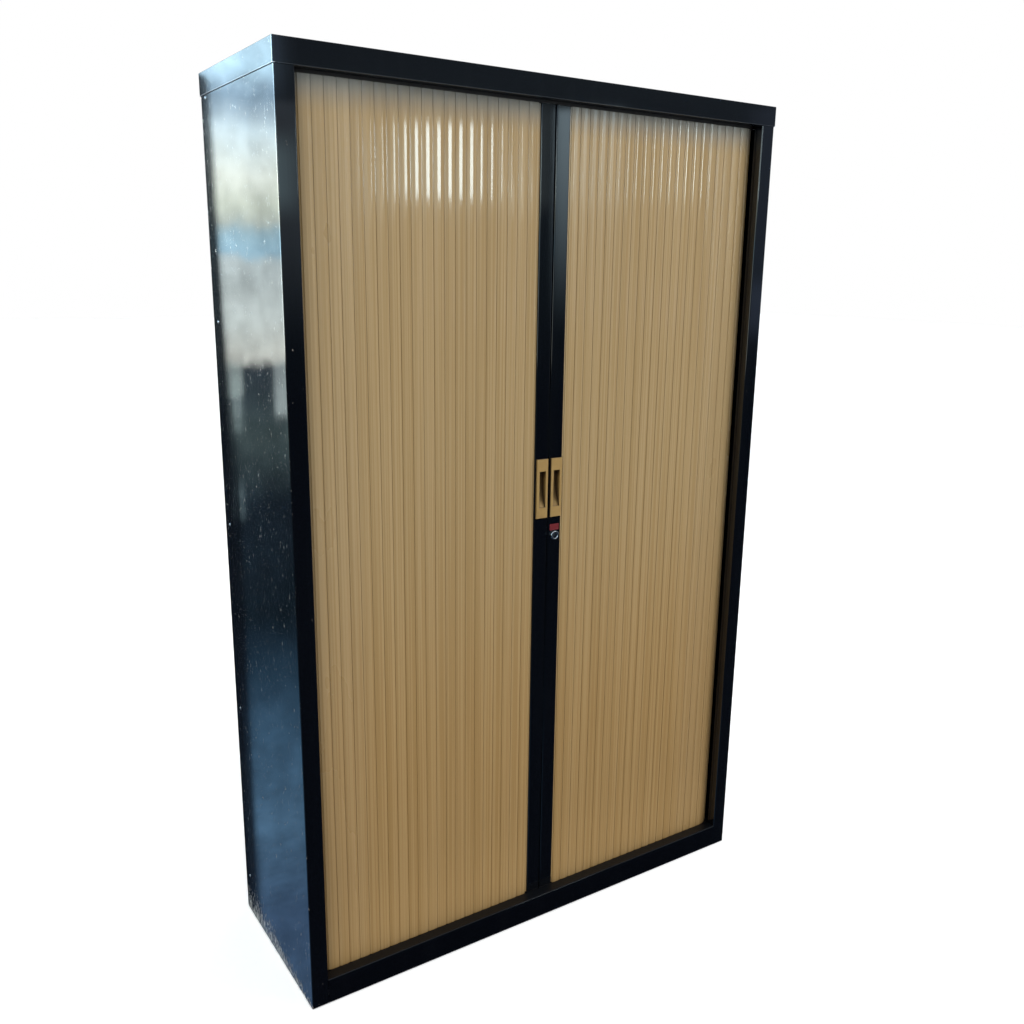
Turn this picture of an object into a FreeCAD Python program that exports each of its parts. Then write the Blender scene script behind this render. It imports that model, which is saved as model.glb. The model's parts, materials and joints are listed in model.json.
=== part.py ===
"""Steel cupboard whose two slatted curtains run sideways in floor and ceiling tracks.

Millimetres. +Z up, the front faces -Y, and the origin is on the floor under the middle of the cupboard.
Names with "left" are made first, and the right-hand pieces are their mirror images.
"""

import FreeCAD, Part
import math
import os

from FreeCAD import Vector

# Driving dimensions of the whole cupboard
body_width = 1250.0
body_depth = 435.0
total_height = 1980.0
sheet = 1.2
bend_radius = 2.5
seat_gap = 0.3

# Case
floor_gap = 2.0
cap_skirt = 45.0
cap_overhang = 2.0
cap_edge_radius = 2.5
cap_edge_bevel = 1.0
post_width = 39.0
post_return = 25.0
post_hem = 8.0
rear_flange = 22.0
plinth_height = 60.0
plinth_foot_return = 20.0
pan_height = 40.0
pan_flange = 20.0

# Curtain path and tracks
curtain_recess = 30.0
side_inset = 20.0
back_inset = 15.5
corner_radius = 45.0
rear_run = 180.0
track_wall = 1.8
track_floor = 2.0
groove_outside = 5.5
groove_inside = 3.8
bottom_track_height = 15.8
top_track_drop = 5.0
top_pan_height = 22.0
top_engagement = 14.0

# Slats
slat_pitch = 25.15
slat_count = 22
slat_crown = 5.0
slat_edge_drop = 0.7
slat_wall = 1.1
bead_radius = 1.5
bead_clearance = 0.3
socket_wall = 1.0
rear_lip_angle = 300.0
corner_step = 60.0
first_corner_angle = 30.0
lip_rise = 1.6
groove_before = 0.7
groove_after = 0.6
web_distance = 4.0

# Leading stiles
stile_recess = 28.0
stile_width = 36.0
stile_depth = 28.0
stile_lip = 7.0
meeting_gap = 3.0
stile_end_gap = 1.5
stile_to_pivot = 4.7
anchor_depth = 10.0
glide_length = 20.0
glide_side_gap = 0.5

# Handles
handle_width = 30.5
handle_height = 138.0
handle_above_lock = 115.0
handle_proud = 5.5
handle_edge_radius = 1.8
pocket_width = 17.5
pocket_height = 85.0
pocket_drop = 1.5
pocket_depth = 17.0
pocket_straight = 33.0
pocket_exit_depth = 2.5
pocket_bulge = 0.72
cup_wall = 1.5

# Lock
lock_height = 991.0
bezel_radius = 11.0
bezel_proud = 4.0
barrel_radius = 9.0
barrel_length = 19.5
plug_radius = 6.0
plug_clearance = 0.05
keyway_width = 1.6
keyway_height = 8.0
keyway_depth = 10.0
barrel_flat = 8.0
clip_reach = 12.5
lock_clip_thickness = 2.5
tang_half = 3.0
cam_tail = 6.0
cam_thickness = 2.5
cam_reach = 30.0
cam_half_width = 4.2
cam_tooth_length = 4.8
cam_tooth_drop = 4.8
cam_screw_radius = 6.0
cam_screw_thickness = 2.5
slot_clearance = 2.0
keeper_thickness = 2.0
keeper_margin = 22.0
keeper_width = 13.0

# Inner lining and shelves
liner_inset = 37.0
liner_front = 57.5
liner_back = 35.5
liner_fold = 12.0
upright_width = 22.0
upright_depth = 10.0
upright_inset = 27.0
upright_end_gap = 2.0
slot_pitch = 187.5
slot_width = 4.0
slot_height = 14.0
shelf_count = 4
slots_per_shelf = 2
shelf_sheet = 1.0
shelf_fold = 25.0
shelf_lip = 12.0
shelf_front_gap = 10.0
shelf_side_gap = 1.5
clip_sheet = 1.5
clip_width = 12.0
clip_ledge = 14.0
clip_leg = 18.0
clip_hook_drop = 5.0
tongue_drop = 8.0

# Pressed stiffening ribs in the two backs
rib_width = 40.0
rib_slope = 6.0
rib_depth = 4.0
rib_end_distance = 90.0
rib_count = 4

# Levelling feet
foot_inset_x = 55.0
foot_inset_front = 58.0
foot_inset_back = 42.0
foot_pad_radius = 19.0
foot_pad_height = 8.0
foot_pad_bevel = 2.0
bolt_head_radius = 7.5
bolt_head_height = 5.0
bolt_radius = 4.0
bolt_length = 26.0
thread_clearance = 0.08
bracket_length = 60.0
bracket_width = 46.0
bracket_drop = 26.0
bracket_sheet = 3.0
weld_nut_half = 6.5
weld_nut_height = 8.0

# Places worked out from the sizes above
half_width = body_width / 2
half_depth = body_depth / 2
case_bottom = floor_gap
case_top = total_height - sheet - seat_gap
cap_bottom = total_height - cap_skirt
pivot_y = -half_depth + curtain_recess + slat_crown
side_line = -half_width + side_inset
back_line = half_depth - back_inset
corner_x = side_line + corner_radius
front_corner_y = pivot_y + corner_radius
back_corner_y = back_line - corner_radius
rear_end_x = corner_x + rear_run
floor_top = plinth_height
pan_top = pan_height + sheet
track_mouth_top = cap_bottom - top_track_drop
top_pan_bottom = track_mouth_top + top_pan_height
ceiling = track_mouth_top
slat_bottom = pan_top + track_floor + seat_gap
slat_top = track_mouth_top + top_engagement
band_outside = groove_outside + track_wall
band_inside = groove_inside + track_wall
opening_half = half_width - post_width
stile_front = -half_depth + stile_recess
stile_back = stile_front + stile_depth
stile_near = meeting_gap / 2
stile_far = stile_near + stile_width
stile_middle = (stile_near + stile_far) / 2
stile_bottom = floor_top + stile_end_gap
stile_top = ceiling - stile_end_gap
handle_centre_height = lock_height + handle_above_lock
pocket_middle = handle_centre_height - pocket_drop
first_pivot_x = -stile_far - stile_to_pivot
liner_x = -half_width + liner_inset
liner_front_y = -half_depth + liner_front
liner_back_y = half_depth - liner_back
upright_face = liner_x + sheet + upright_depth
shelf_half = -upright_face - shelf_side_gap
shelf_front = liner_front_y + shelf_front_gap
shelf_back = liner_back_y - sheet - seat_gap - shelf_lip / 2
shelf_pitch = slot_pitch * slots_per_shelf
shelf_tops = [floor_top + shelf_pitch * (i + 1) for i in range(shelf_count)]
slot_middle_drop = shelf_fold + tongue_drop + clip_hook_drop / 2
upright_ys = [liner_front_y + upright_inset, liner_back_y - upright_inset]
foot_places = {
    "front_left": (-half_width + foot_inset_x, -half_depth + foot_inset_front),
    "front_right": (half_width - foot_inset_x, -half_depth + foot_inset_front),
    "back_left": (-half_width + foot_inset_x, half_depth - foot_inset_back),
    "back_right": (half_width - foot_inset_x, half_depth - foot_inset_back),
}


def save(name, *solids):
    """Writes one node's solids to parts/NAME.step."""
    shape = solids[0] if len(solids) == 1 else Part.makeCompound(list(solids))
    shape.exportStep(os.path.join("parts", name + ".step"))


def mirrored(shape):
    """The same piece for the other half of the cupboard."""
    return shape.mirror(Vector(0, 0, 0), Vector(1, 0, 0))


def block(low, high):
    """A box between two corners."""
    return Part.makeBox(*(b - a for a, b in zip(low, high)), Vector(*low))


def rod(radius, start, end):
    """A cylinder between two points."""
    along = Vector(*end) - Vector(*start)
    return Part.makeCylinder(radius, along.Length, Vector(*start), along)


def facing_up(wire):
    """A flat face in the XY plane whose normal is +Z."""
    face = Part.Face(wire)
    if face.normalAt(0, 0).z < 0:
        face.reverse()
    return face


def polygon(points):
    """A flat face in the XY plane between the given corners."""
    corners = [Vector(x, y, 0) for x, y in points]
    return facing_up(Part.makePolygon(corners + corners[:1]))


def bent_edges(points, radii):
    """Edges of an open line whose inner corners are rounded by the given radii, or sharp for none."""
    edges = []
    start = points[0]
    for before, corner, after, radius in zip(points, points[1:], points[2:], radii):
        if radius <= 0:
            edges.append(Part.LineSegment(start, corner).toShape())
            start = corner
            continue
        into = (corner - before).normalize()
        out = (after - corner).normalize()
        half_turn = into.getAngle(out) / 2
        cut = radius * math.tan(half_turn)
        bulge = radius / math.cos(half_turn) - radius
        middle = corner + (out - into).normalize() * bulge
        edges.append(Part.LineSegment(start, corner - into * cut).toShape())
        edges.append(Part.Arc(corner - into * cut, middle, corner + out * cut).toShape())
        start = corner + out * cut
    edges.append(Part.LineSegment(start, points[-1]).toShape())
    return edges


def folded(points, radii, thickness=sheet):
    """The section of a folded sheet: points lie on one face, and the sheet is on the left of their path."""
    line = [Vector(x, y, 0) for x, y in points]
    ways = [(b - a).normalize() for a, b in zip(line, line[1:])]
    normals = [Vector(-w.y, w.x, 0) for w in ways]
    offset = [line[0] + normals[0] * thickness]
    face_radii = []
    offset_radii = []
    for i in range(1, len(line) - 1):
        before, after = normals[i - 1], normals[i]
        offset.append(line[i] + (before + after) * (thickness / (1 + before.dot(after))))
        turns_left = ways[i - 1].cross(ways[i]).z > 0
        wide, tight = radii[i - 1], radii[i - 1] - thickness
        face_radii.append(wide if turns_left else tight)
        offset_radii.append(tight if turns_left else wide)
    offset.append(line[-1] + normals[-1] * thickness)
    edges = bent_edges(line, face_radii) + bent_edges(offset, offset_radii)
    edges.append(Part.LineSegment(line[0], offset[0]).toShape())
    edges.append(Part.LineSegment(line[-1], offset[-1]).toShape())
    return Part.Face(Part.Wire(Part.__sortEdges__(edges)))


def upright_solid(face, bottom, top):
    """Extrudes a plan face between two heights."""
    solid = face.extrude(Vector(0, 0, top - bottom))
    solid.translate(Vector(0, 0, bottom))
    return solid


def along_x(face, x0, x1):
    """Extrudes a section drawn as (y, z) from x0 to x1."""
    solid = face.extrude(Vector(0, 0, x1 - x0))
    solid.Placement = FreeCAD.Placement(Vector(x0, 0, 0), FreeCAD.Rotation(Vector(1, 1, 1), 120))
    return solid


def along_y(face, y0, y1):
    """Extrudes a section drawn as (x, z) from y0 to y1."""
    solid = face.extrude(Vector(0, 0, y1 - y0))
    solid.Placement = FreeCAD.Placement(Vector(0, y1, 0), FreeCAD.Rotation(Vector(1, 0, 0), 90))
    return solid


def path_band(outside, inside):
    """Plan of a strip along both curtain paths, from one end of their rear runs to the other."""
    front = Vector(corner_x, front_corner_y, 0)
    back = Vector(corner_x, back_corner_y, 0)
    slant = math.sqrt(0.5)

    def side(radius):
        """The left half of the path shifted to the given radius at its corners, and its two ends."""
        a = Vector(0, front.y - radius, 0)
        b = Vector(front.x, front.y - radius, 0)
        c = Vector(front.x - radius, front.y, 0)
        d = Vector(back.x - radius, back.y, 0)
        e = Vector(back.x, back.y + radius, 0)
        f = Vector(rear_end_x, back.y + radius, 0)
        front_middle = front + Vector(-slant, -slant, 0) * radius
        back_middle = back + Vector(-slant, slant, 0) * radius
        edges = [
            Part.LineSegment(a, b).toShape(),
            Part.Arc(b, front_middle, c).toShape(),
            Part.LineSegment(c, d).toShape(),
            Part.Arc(d, back_middle, e).toShape(),
            Part.LineSegment(e, f).toShape(),
        ]
        return a, f, edges

    start_out, end_out, outer = side(corner_radius + outside)
    start_in, end_in, inner = side(corner_radius - inside)
    ends = [Part.LineSegment(start_out, start_in).toShape(), Part.LineSegment(end_out, end_in).toShape()]
    half = facing_up(Part.Wire(Part.__sortEdges__(outer + inner + ends)))
    whole = half.fuse(facing_up(mirrored(half).OuterWire)).removeSplitter()
    return whole.Faces[0]


def path_point(travelled):
    """A point of the left curtain path, by its distance from the first pivot."""
    straight = first_pivot_x - corner_x
    quarter = corner_radius * math.pi / 2
    if travelled <= straight:
        return Vector(first_pivot_x - travelled, pivot_y, 0)
    if travelled <= straight + quarter:
        turned = (travelled - straight) / corner_radius
        return Vector(
            corner_x - corner_radius * math.sin(turned),
            front_corner_y - corner_radius * math.cos(turned),
            0,
        )
    return Vector(side_line, front_corner_y + travelled - straight - quarter, 0)


def curtain_pivots(count):
    """Pivots of the slats, one slat pitch apart in a straight line, all on the curtain path."""
    pivots = [path_point(0)]
    travelled = 0.0
    for _ in range(count):
        low, high = travelled, travelled + 2 * slat_pitch
        while high - low > 1e-6:
            middle = (low + high) / 2
            if (path_point(middle) - pivots[-1]).Length < slat_pitch:
                low = middle
            else:
                high = middle
        travelled = (low + high) / 2
        pivots.append(path_point(travelled))
    return pivots


def around(centre, radius, degrees):
    """The point of a slat's section at an angle about a pivot."""
    angle = math.radians(degrees)
    return (centre + radius * math.cos(angle), radius * math.sin(angle))


def hexagon_corners(centre, radius, first, count):
    """Some neighbouring corners of the hexagon about a pivot, from its first corner on."""
    return [around(centre, radius, first_corner_angle + corner_step * (first + i)) for i in range(count)]


def socket_inside(centre):
    """The hollow's corners, from the front lip round the back to the rear lip."""
    inner = bead_radius + bead_clearance
    flat_to_corner = math.cos(math.radians(corner_step / 2))
    return hexagon_corners(centre, inner / flat_to_corner, 0, 5) + [around(centre, inner, rear_lip_angle)]


def socket_outside(centre):
    """The hook's outer corners, from the rear lip back to the far side of the hollow."""
    outer = bead_radius + bead_clearance + socket_wall
    flat_to_corner = math.cos(math.radians(corner_step / 2))
    back = hexagon_corners(centre, outer / flat_to_corner, 3, 2)
    return [around(centre, outer, rear_lip_angle)] + back[::-1]


def front_lip(centre):
    """The outer end of the lip in front of the hollow."""
    return around(centre, bead_radius + bead_clearance + socket_wall, first_corner_angle)


def slat_face():
    """Section of one slat: bead and neck at its first pivot, crowned skin, hooked socket at its second."""
    first = groove_before
    last = slat_pitch - groove_after
    edge = slat_crown - slat_edge_drop
    under = edge - slat_wall
    half_neck = bead_radius / 2
    far_side = web_distance + slat_wall
    lip = front_lip(slat_pitch)
    corners = (
        [(first, edge), (first, under), (web_distance, under), (web_distance, half_neck)]
        + hexagon_corners(0, bead_radius, 0, 6)
        + [(far_side, -half_neck), (far_side, under), (socket_outside(slat_pitch)[-1][0], under)]
        + socket_outside(slat_pitch)[::-1]
        + socket_inside(slat_pitch)[::-1]
        + [lip, (last, lip[1] + lip_rise), (last, edge)]
    )
    points = [Vector(x, y, 0) for x, y in corners]
    edges = [Part.LineSegment(a, b).toShape() for a, b in zip(points, points[1:])]
    crown = Part.Arc(points[-1], Vector(slat_pitch / 2, slat_crown, 0), points[0])
    return facing_up(Part.Wire(Part.__sortEdges__(edges + [crown.toShape()])))


def left_curtain():
    """All slats of the left curtain, each turned between its two pivots."""
    slat = upright_solid(slat_face(), slat_bottom, slat_top)
    pivots = curtain_pivots(slat_count)
    slats = []
    for start, end in zip(pivots, pivots[1:]):
        way = end - start
        turn = FreeCAD.Rotation(Vector(0, 0, 1), math.degrees(math.atan2(way.y, way.x)))
        copy = slat.copy()
        copy.Placement = FreeCAD.Placement(start, turn).multiply(slat.Placement)
        slats.append(copy)
    return slats


def track(bottom, top, mouth_up):
    """A grooved track along both curtain paths."""
    rail = upright_solid(path_band(band_outside, band_inside), bottom, top)
    groove = path_band(groove_outside, groove_inside)
    if mouth_up:
        return rail.cut(upright_solid(groove, bottom + track_floor, top))
    return rail.cut(upright_solid(groove, bottom, top - track_floor))


def pressed_rib(x, face_y, towards_back, bottom, top):
    """The two frustums of one pressed rib: what it adds to a sheet, and the hollow behind it."""
    way = 1 if towards_back else -1

    def ring(shrink, y):
        half = rib_width / 2 - shrink
        corners = [
            Vector(x - half, y, bottom + shrink),
            Vector(x + half, y, bottom + shrink),
            Vector(x + half, y, top - shrink),
            Vector(x - half, y, top - shrink),
        ]
        return Part.makePolygon(corners + corners[:1])

    solid = Part.makeLoft([ring(0, face_y), ring(rib_slope, face_y + way * rib_depth)], True, True)
    hollow = solid.copy()
    hollow.translate(Vector(0, -way * sheet, 0))
    return solid, hollow


def ribbed_sheet(half, front, bottom, top, towards_back):
    """An upright sheet with pressed ribs; front is its front face."""
    panel = block((-half, front, bottom), (half, front + sheet, top))
    face_y = front + sheet if towards_back else front
    for i in range(rib_count):
        x = half * ((2 * i + 1) / rib_count - 1)
        solid, hollow = pressed_rib(
            x, face_y, towards_back, bottom + rib_end_distance, top - rib_end_distance
        )
        panel = panel.fuse(solid).cut(hollow)
    return panel.removeSplitter()


def top_cap():
    half_x = half_width + cap_overhang
    half_y = half_depth + cap_overhang
    shell = block((-half_x, -half_y, cap_bottom), (half_x, half_y, total_height))
    corners = [e for e in shell.Edges if e.BoundBox.ZLength > 1]
    shell = shell.makeFillet(cap_edge_radius, corners)
    rim = [e for e in shell.Edges if e.BoundBox.ZMin > total_height - 0.01]
    shell = shell.makeChamfer(cap_edge_bevel, rim)
    hollow = block(
        (-half_x + sheet, -half_y + sheet, cap_bottom - 1),
        (half_x - sheet, half_y - sheet, total_height - sheet),
    )
    return shell.cut(hollow)


def left_side():
    """Side skin, front post and rear flange, folded from one sheet."""
    section = folded([
        (-half_width + rear_flange, half_depth),
        (-half_width, half_depth),
        (-half_width, -half_depth),
        (-opening_half, -half_depth),
        (-opening_half, -half_depth + post_return),
        (-opening_half - post_hem, -half_depth + post_return),
    ], [bend_radius, bend_radius, bend_radius, 0])
    return upright_solid(section, case_bottom, case_top)


def plinth():
    flange_y = pivot_y - band_outside - seat_gap
    section = folded([
        (flange_y, pan_top),
        (flange_y, plinth_height),
        (-half_depth, plinth_height),
        (-half_depth, case_bottom),
        (-half_depth + plinth_foot_return, case_bottom),
    ], [0, bend_radius, 0])
    half = opening_half - seat_gap
    return along_x(section, -half, half)


def header_rail():
    flange_y = pivot_y - band_outside - seat_gap
    section = folded([
        (-half_depth, case_top),
        (-half_depth, cap_bottom),
        (flange_y, cap_bottom),
        (flange_y, top_pan_bottom - seat_gap),
    ], [bend_radius, 0])
    half = opening_half - seat_gap
    return along_x(section, -half, half)


def pan(plate_bottom, flange_bottom, flange_top):
    """A shallow pan across the whole case; its flange goes down or up from the plate."""
    half_x = half_width - sheet - seat_gap
    front = -half_depth + post_return + seat_gap
    back = half_depth - 2 * (sheet + seat_gap)
    low = min(plate_bottom, flange_bottom)
    high = max(plate_bottom + sheet, flange_top)
    outer = block((-half_x, front, low), (half_x, back, high))
    below = block(
        (-half_x + sheet, front + sheet, low - 1), (half_x - sheet, back - sheet, plate_bottom)
    )
    above = block(
        (-half_x + sheet, front + sheet, plate_bottom + sheet), (half_x - sheet, back - sheet, high + 1)
    )
    return outer.cut(below).cut(above)


def inner_tray(bottom, top, plate_at_top):
    """Floor or ceiling of the storage space: a plate with a skirt that follows the inside of the tracks."""

    def plan(shrink):
        reach = band_inside + seat_gap + shrink
        radius = corner_radius - reach
        half = -side_line - reach
        solid = block(
            (-half, pivot_y + reach, bottom), (half, back_line - reach, top)
        )
        upright = [e for e in solid.Edges if e.BoundBox.ZLength > 1]
        return solid.makeFillet(radius, upright)

    hollow = plan(sheet)
    hollow.translate(Vector(0, 0, -sheet if plate_at_top else sheet))
    return plan(0).cut(hollow)


def left_liner():
    """Inner side wall between the stored goods and the curtain."""
    section = folded([
        (liner_x + liner_fold, liner_back_y),
        (liner_x, liner_back_y),
        (liner_x, liner_front_y),
        (liner_x + liner_fold, liner_front_y),
    ], [0, bend_radius])
    return upright_solid(section, floor_top, ceiling)


def slot_heights():
    """Middles of the slots of an upright: one row for every slot pitch that leaves whole slots."""
    first = floor_top + slot_pitch - slot_middle_drop
    count = int((ceiling - upright_end_gap - slot_height - first) / slot_pitch) + 1
    return [first + slot_pitch * i for i in range(count)]


def left_upright(y):
    """Slotted channel on the liner that takes the shelf clips."""
    back = liner_x + sheet + seat_gap
    half = upright_width / 2
    section = folded(
        [(back, y - half), (upright_face, y - half), (upright_face, y + half), (back, y + half)], [0, 0]
    )
    strip = upright_solid(section, floor_top + upright_end_gap, ceiling - upright_end_gap)
    slots = [
        block(
            (upright_face - sheet - 1, y - slot_width / 2, z - slot_height / 2),
            (upright_face + 1, y + slot_width / 2, z + slot_height / 2),
        )
        for z in slot_heights()
    ]
    return strip.cut(Part.makeCompound(slots))


def shelf(top):
    """Folded shelf with end cheeks."""
    section = folded(
        [
            (shelf_back - shelf_lip, top - shelf_fold),
            (shelf_back, top - shelf_fold),
            (shelf_back, top),
            (shelf_front, top),
            (shelf_front, top - shelf_fold),
            (shelf_front + shelf_lip, top - shelf_fold),
        ],
        [0, 0, 0, 0],
        shelf_sheet,
    )
    plate = along_x(section, -shelf_half, shelf_half)
    for x in (-shelf_half, shelf_half - shelf_sheet):
        cheek = block(
            (x, shelf_front + shelf_sheet / 2, top - shelf_fold),
            (x + shelf_sheet, shelf_back - shelf_sheet / 2, top - shelf_sheet / 2),
        )
        plate = plate.fuse(cheek)
    return plate.removeSplitter()


def left_clip(y, shelf_top):
    """Shelf clip: a ledge and leg on the face of the upright, and a tongue hooked through its slot."""
    ledge_top = shelf_top - shelf_fold
    face = upright_face + seat_gap
    ledge = polygon([
        (face, ledge_top),
        (face + clip_ledge, ledge_top),
        (face + clip_ledge, ledge_top - clip_sheet),
        (face + clip_sheet, ledge_top - clip_sheet),
        (face + clip_sheet, ledge_top - clip_leg),
        (face, ledge_top - clip_leg),
    ])
    body = along_y(ledge, y - clip_width / 2, y + clip_width / 2)
    tongue_top = ledge_top - tongue_drop
    behind = upright_face - sheet - seat_gap
    half = (slot_width - 2 * seat_gap) / 2
    tongue = block(
        (behind - clip_sheet, y - half, tongue_top - clip_sheet),
        (face + clip_sheet / 2, y + half, tongue_top),
    )
    hook = block(
        (behind - clip_sheet, y - half, tongue_top - clip_sheet - clip_hook_drop),
        (behind, y + half, tongue_top),
    )
    return body.fuse([tongue, hook]).removeSplitter()


def left_stile():
    """Leading edge of the left curtain: a channel open to the back, with a window for the handle cup."""
    section = folded([
        (-stile_near - sheet - stile_lip, stile_back),
        (-stile_near, stile_back),
        (-stile_near, stile_front),
        (-stile_far, stile_front),
        (-stile_far, stile_back),
        (-stile_far + sheet + stile_lip, stile_back),
    ][::-1], [0, bend_radius, bend_radius, 0])
    channel = upright_solid(section, stile_bottom, stile_top)
    half_x = pocket_width / 2 + cup_wall + seat_gap
    half_z = pocket_height / 2 + cup_wall + seat_gap
    window = block(
        (-stile_middle - half_x, stile_front - 1, pocket_middle - half_z),
        (-stile_middle + half_x, stile_front + sheet + 1, pocket_middle + half_z),
    )
    return channel.cut(window)


def cam_back():
    return stile_front + barrel_length + seat_gap + cam_thickness


def cam_slot(near, far, reach_to):
    """Opening that the swinging cam needs between two distances from the stile's middle plane."""
    tip = math.hypot(cam_reach, cam_half_width + cam_tooth_drop)
    axis_distance = stile_middle + reach_to
    rise = math.sqrt(tip**2 - axis_distance**2) + slot_clearance
    return block(
        (near, cam_back() - cam_thickness - slot_clearance, lock_height - cam_half_width - slot_clearance),
        (far, cam_back() + slot_clearance, lock_height + rise),
    )


def right_stile():
    """Leading edge of the right curtain, with the lock hole and the slot for the cam."""
    channel = mirrored(left_stile())
    hole = rod(
        barrel_radius + plug_clearance,
        (stile_middle, stile_front - 1, lock_height),
        (stile_middle, stile_front + sheet + 1, lock_height),
    )
    slot = cam_slot(stile_near - 1, stile_near + sheet + 1, -stile_near - sheet)
    return channel.cut(hole).cut(slot)


def slotted_left_stile():
    slot = cam_slot(-stile_near - sheet - 1, -stile_near + 1, stile_near)
    return left_stile().cut(slot)


def keeper():
    """Plate behind the left stile's meeting face that the cam's tooth hooks over."""
    inner = -stile_near - sheet
    middle_y = cam_back() - cam_thickness / 2
    plate = block(
        (inner - keeper_thickness, middle_y - keeper_width / 2, lock_height - keeper_margin),
        (inner, stile_back - sheet - seat_gap, lock_height + 2 * keeper_margin),
    )
    return plate.cut(cam_slot(inner - keeper_thickness - 1, inner + 1, stile_near))


def anchor_strip():
    """Strip on the far flange of the left stile, with the socket for the first slat."""
    base = -stile_to_pivot + seat_gap
    lip = front_lip(0)
    hook = socket_outside(0)
    corners = (
        [(base, lip[1] + lip_rise), (base, -anchor_depth), (base + slat_wall, -anchor_depth)]
        + [(base + slat_wall, hook[-1][1])]
        + hook[::-1]
        + socket_inside(0)[::-1]
        + [lip, (-groove_after, lip[1] + lip_rise)]
    )
    strip = upright_solid(polygon(corners), stile_bottom, stile_top)
    turn = FreeCAD.Rotation(Vector(0, 0, 1), 180)
    strip.Placement = FreeCAD.Placement(Vector(first_pivot_x, pivot_y, 0), turn).multiply(strip.Placement)
    return strip


def glide_pair():
    """Plastic blocks in the two ends of the left stile, with tongues that run in the tracks."""
    x0 = -stile_far + bend_radius + seat_gap
    x1 = -stile_near - bend_radius - seat_gap
    y0 = stile_front + sheet + seat_gap
    y1 = stile_back - sheet - seat_gap
    tongue_y0 = pivot_y - groove_outside + glide_side_gap
    tongue_y1 = pivot_y + groove_inside - glide_side_gap
    blocks = []
    for low, high, tip in (
        (stile_bottom, stile_bottom + glide_length, slat_bottom),
        (stile_top - glide_length, stile_top, slat_top),
    ):
        body = block((x0, y0, low), (x1, y1, high))
        start = low if tip < low else high
        tongue = block(
            (x0, tongue_y0, min(start, tip)), (x1, tongue_y1, max(start, tip))
        )
        blocks.append(body.fuse(tongue).removeSplitter())
    return blocks


def scoop_outline(mouth, front):
    """Section of the finger pocket in (y, z): straight at the top, and curving out to the face below."""
    floor_y = front + pocket_depth
    exit_y = front + pocket_exit_depth
    top = pocket_height / 2
    bend_z = top - pocket_straight
    arc_middle = Vector(exit_y + (floor_y - exit_y) * pocket_bulge, (bend_z - top) / 2, 0)
    corners = [Vector(y, z, 0) for y, z in (
        (exit_y, -top), (mouth, -top), (mouth, top), (floor_y, top), (floor_y, bend_z)
    )]
    edges = [Part.LineSegment(a, b).toShape() for a, b in zip(corners, corners[1:])]
    edges.append(Part.Arc(corners[-1], arc_middle, corners[0]).toShape())
    return Part.Face(Part.Wire(edges))


def left_handle():
    """Moulded finger pull: a plate on the stile's face with a scooped cup behind it."""
    front = stile_front - handle_proud
    half_plate = handle_height / 2
    half_pocket = pocket_height / 2
    plate = block(
        (-handle_width / 2, front, pocket_drop - half_plate),
        (handle_width / 2, stile_front, pocket_drop + half_plate),
    )
    rounded = [e for e in plate.Edges if e.BoundBox.YMin < front + 1 and e.BoundBox.YMax < stile_front]
    plate = plate.makeFillet(handle_edge_radius, rounded)
    cup = block(
        (-pocket_width / 2 - cup_wall, stile_front, -half_pocket - cup_wall),
        (pocket_width / 2 + cup_wall, front + pocket_depth + cup_wall, half_pocket + cup_wall),
    )
    scoop = along_x(scoop_outline(front - 1, front), -pocket_width / 2, pocket_width / 2)
    handle = plate.fuse(cup).cut(scoop).removeSplitter()
    handle.translate(Vector(-stile_middle, 0, pocket_middle))
    return handle


def on_lock_axis(y):
    return (stile_middle, y, lock_height)


def lock_barrel():
    """Round bezel on a barrel with two flats for the clip."""
    bezel_front = stile_front - bezel_proud
    back = stile_front + barrel_length
    bezel = rod(bezel_radius, on_lock_axis(bezel_front), on_lock_axis(stile_front))
    barrel = rod(barrel_radius, on_lock_axis(stile_front), on_lock_axis(back))
    flats = block(
        (stile_middle - barrel_flat, stile_front - 1, lock_height - barrel_radius - 1),
        (stile_middle + barrel_flat, back + 1, lock_height + barrel_radius + 1),
    )
    bore = rod(plug_radius + plug_clearance, on_lock_axis(bezel_front - 1), on_lock_axis(back + 1))
    return bezel.fuse(barrel.common(flats)).cut(bore).removeSplitter()


def lock_clip():
    """Forked spring clip pushed over the barrel's flats behind the stile's face."""
    front = stile_front + sheet
    gap = barrel_flat + plug_clearance
    x, z = stile_middle, lock_height
    fork = polygon([
        (x - gap, z - clip_reach),
        (x - gap, z + barrel_radius + seat_gap),
        (x + gap, z + barrel_radius + seat_gap),
        (x + gap, z - clip_reach),
        (x + clip_reach, z - clip_reach),
        (x + clip_reach, z + clip_reach),
        (x - clip_reach, z + clip_reach),
        (x - clip_reach, z - clip_reach),
    ])
    return along_y(fork, front, front + lock_clip_thickness)


def square_on_axis(half, y0, y1):
    return block(
        (stile_middle - half, y0, lock_height - half), (stile_middle + half, y1, lock_height + half)
    )


def lock_plug():
    """Turning plug of the lock, with its keyway and the square tang that carries the cam."""
    front = stile_front - bezel_proud - seat_gap
    back = stile_front + barrel_length
    plug = rod(plug_radius, on_lock_axis(front), on_lock_axis(back))
    keyway = block(
        (stile_middle - keyway_width / 2, front - 1, lock_height - keyway_height / 2),
        (stile_middle + keyway_width / 2, front + keyway_depth, lock_height + keyway_height / 2),
    )
    return plug.fuse(square_on_axis(tang_half, back, cam_back())).cut(keyway).removeSplitter()


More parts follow.
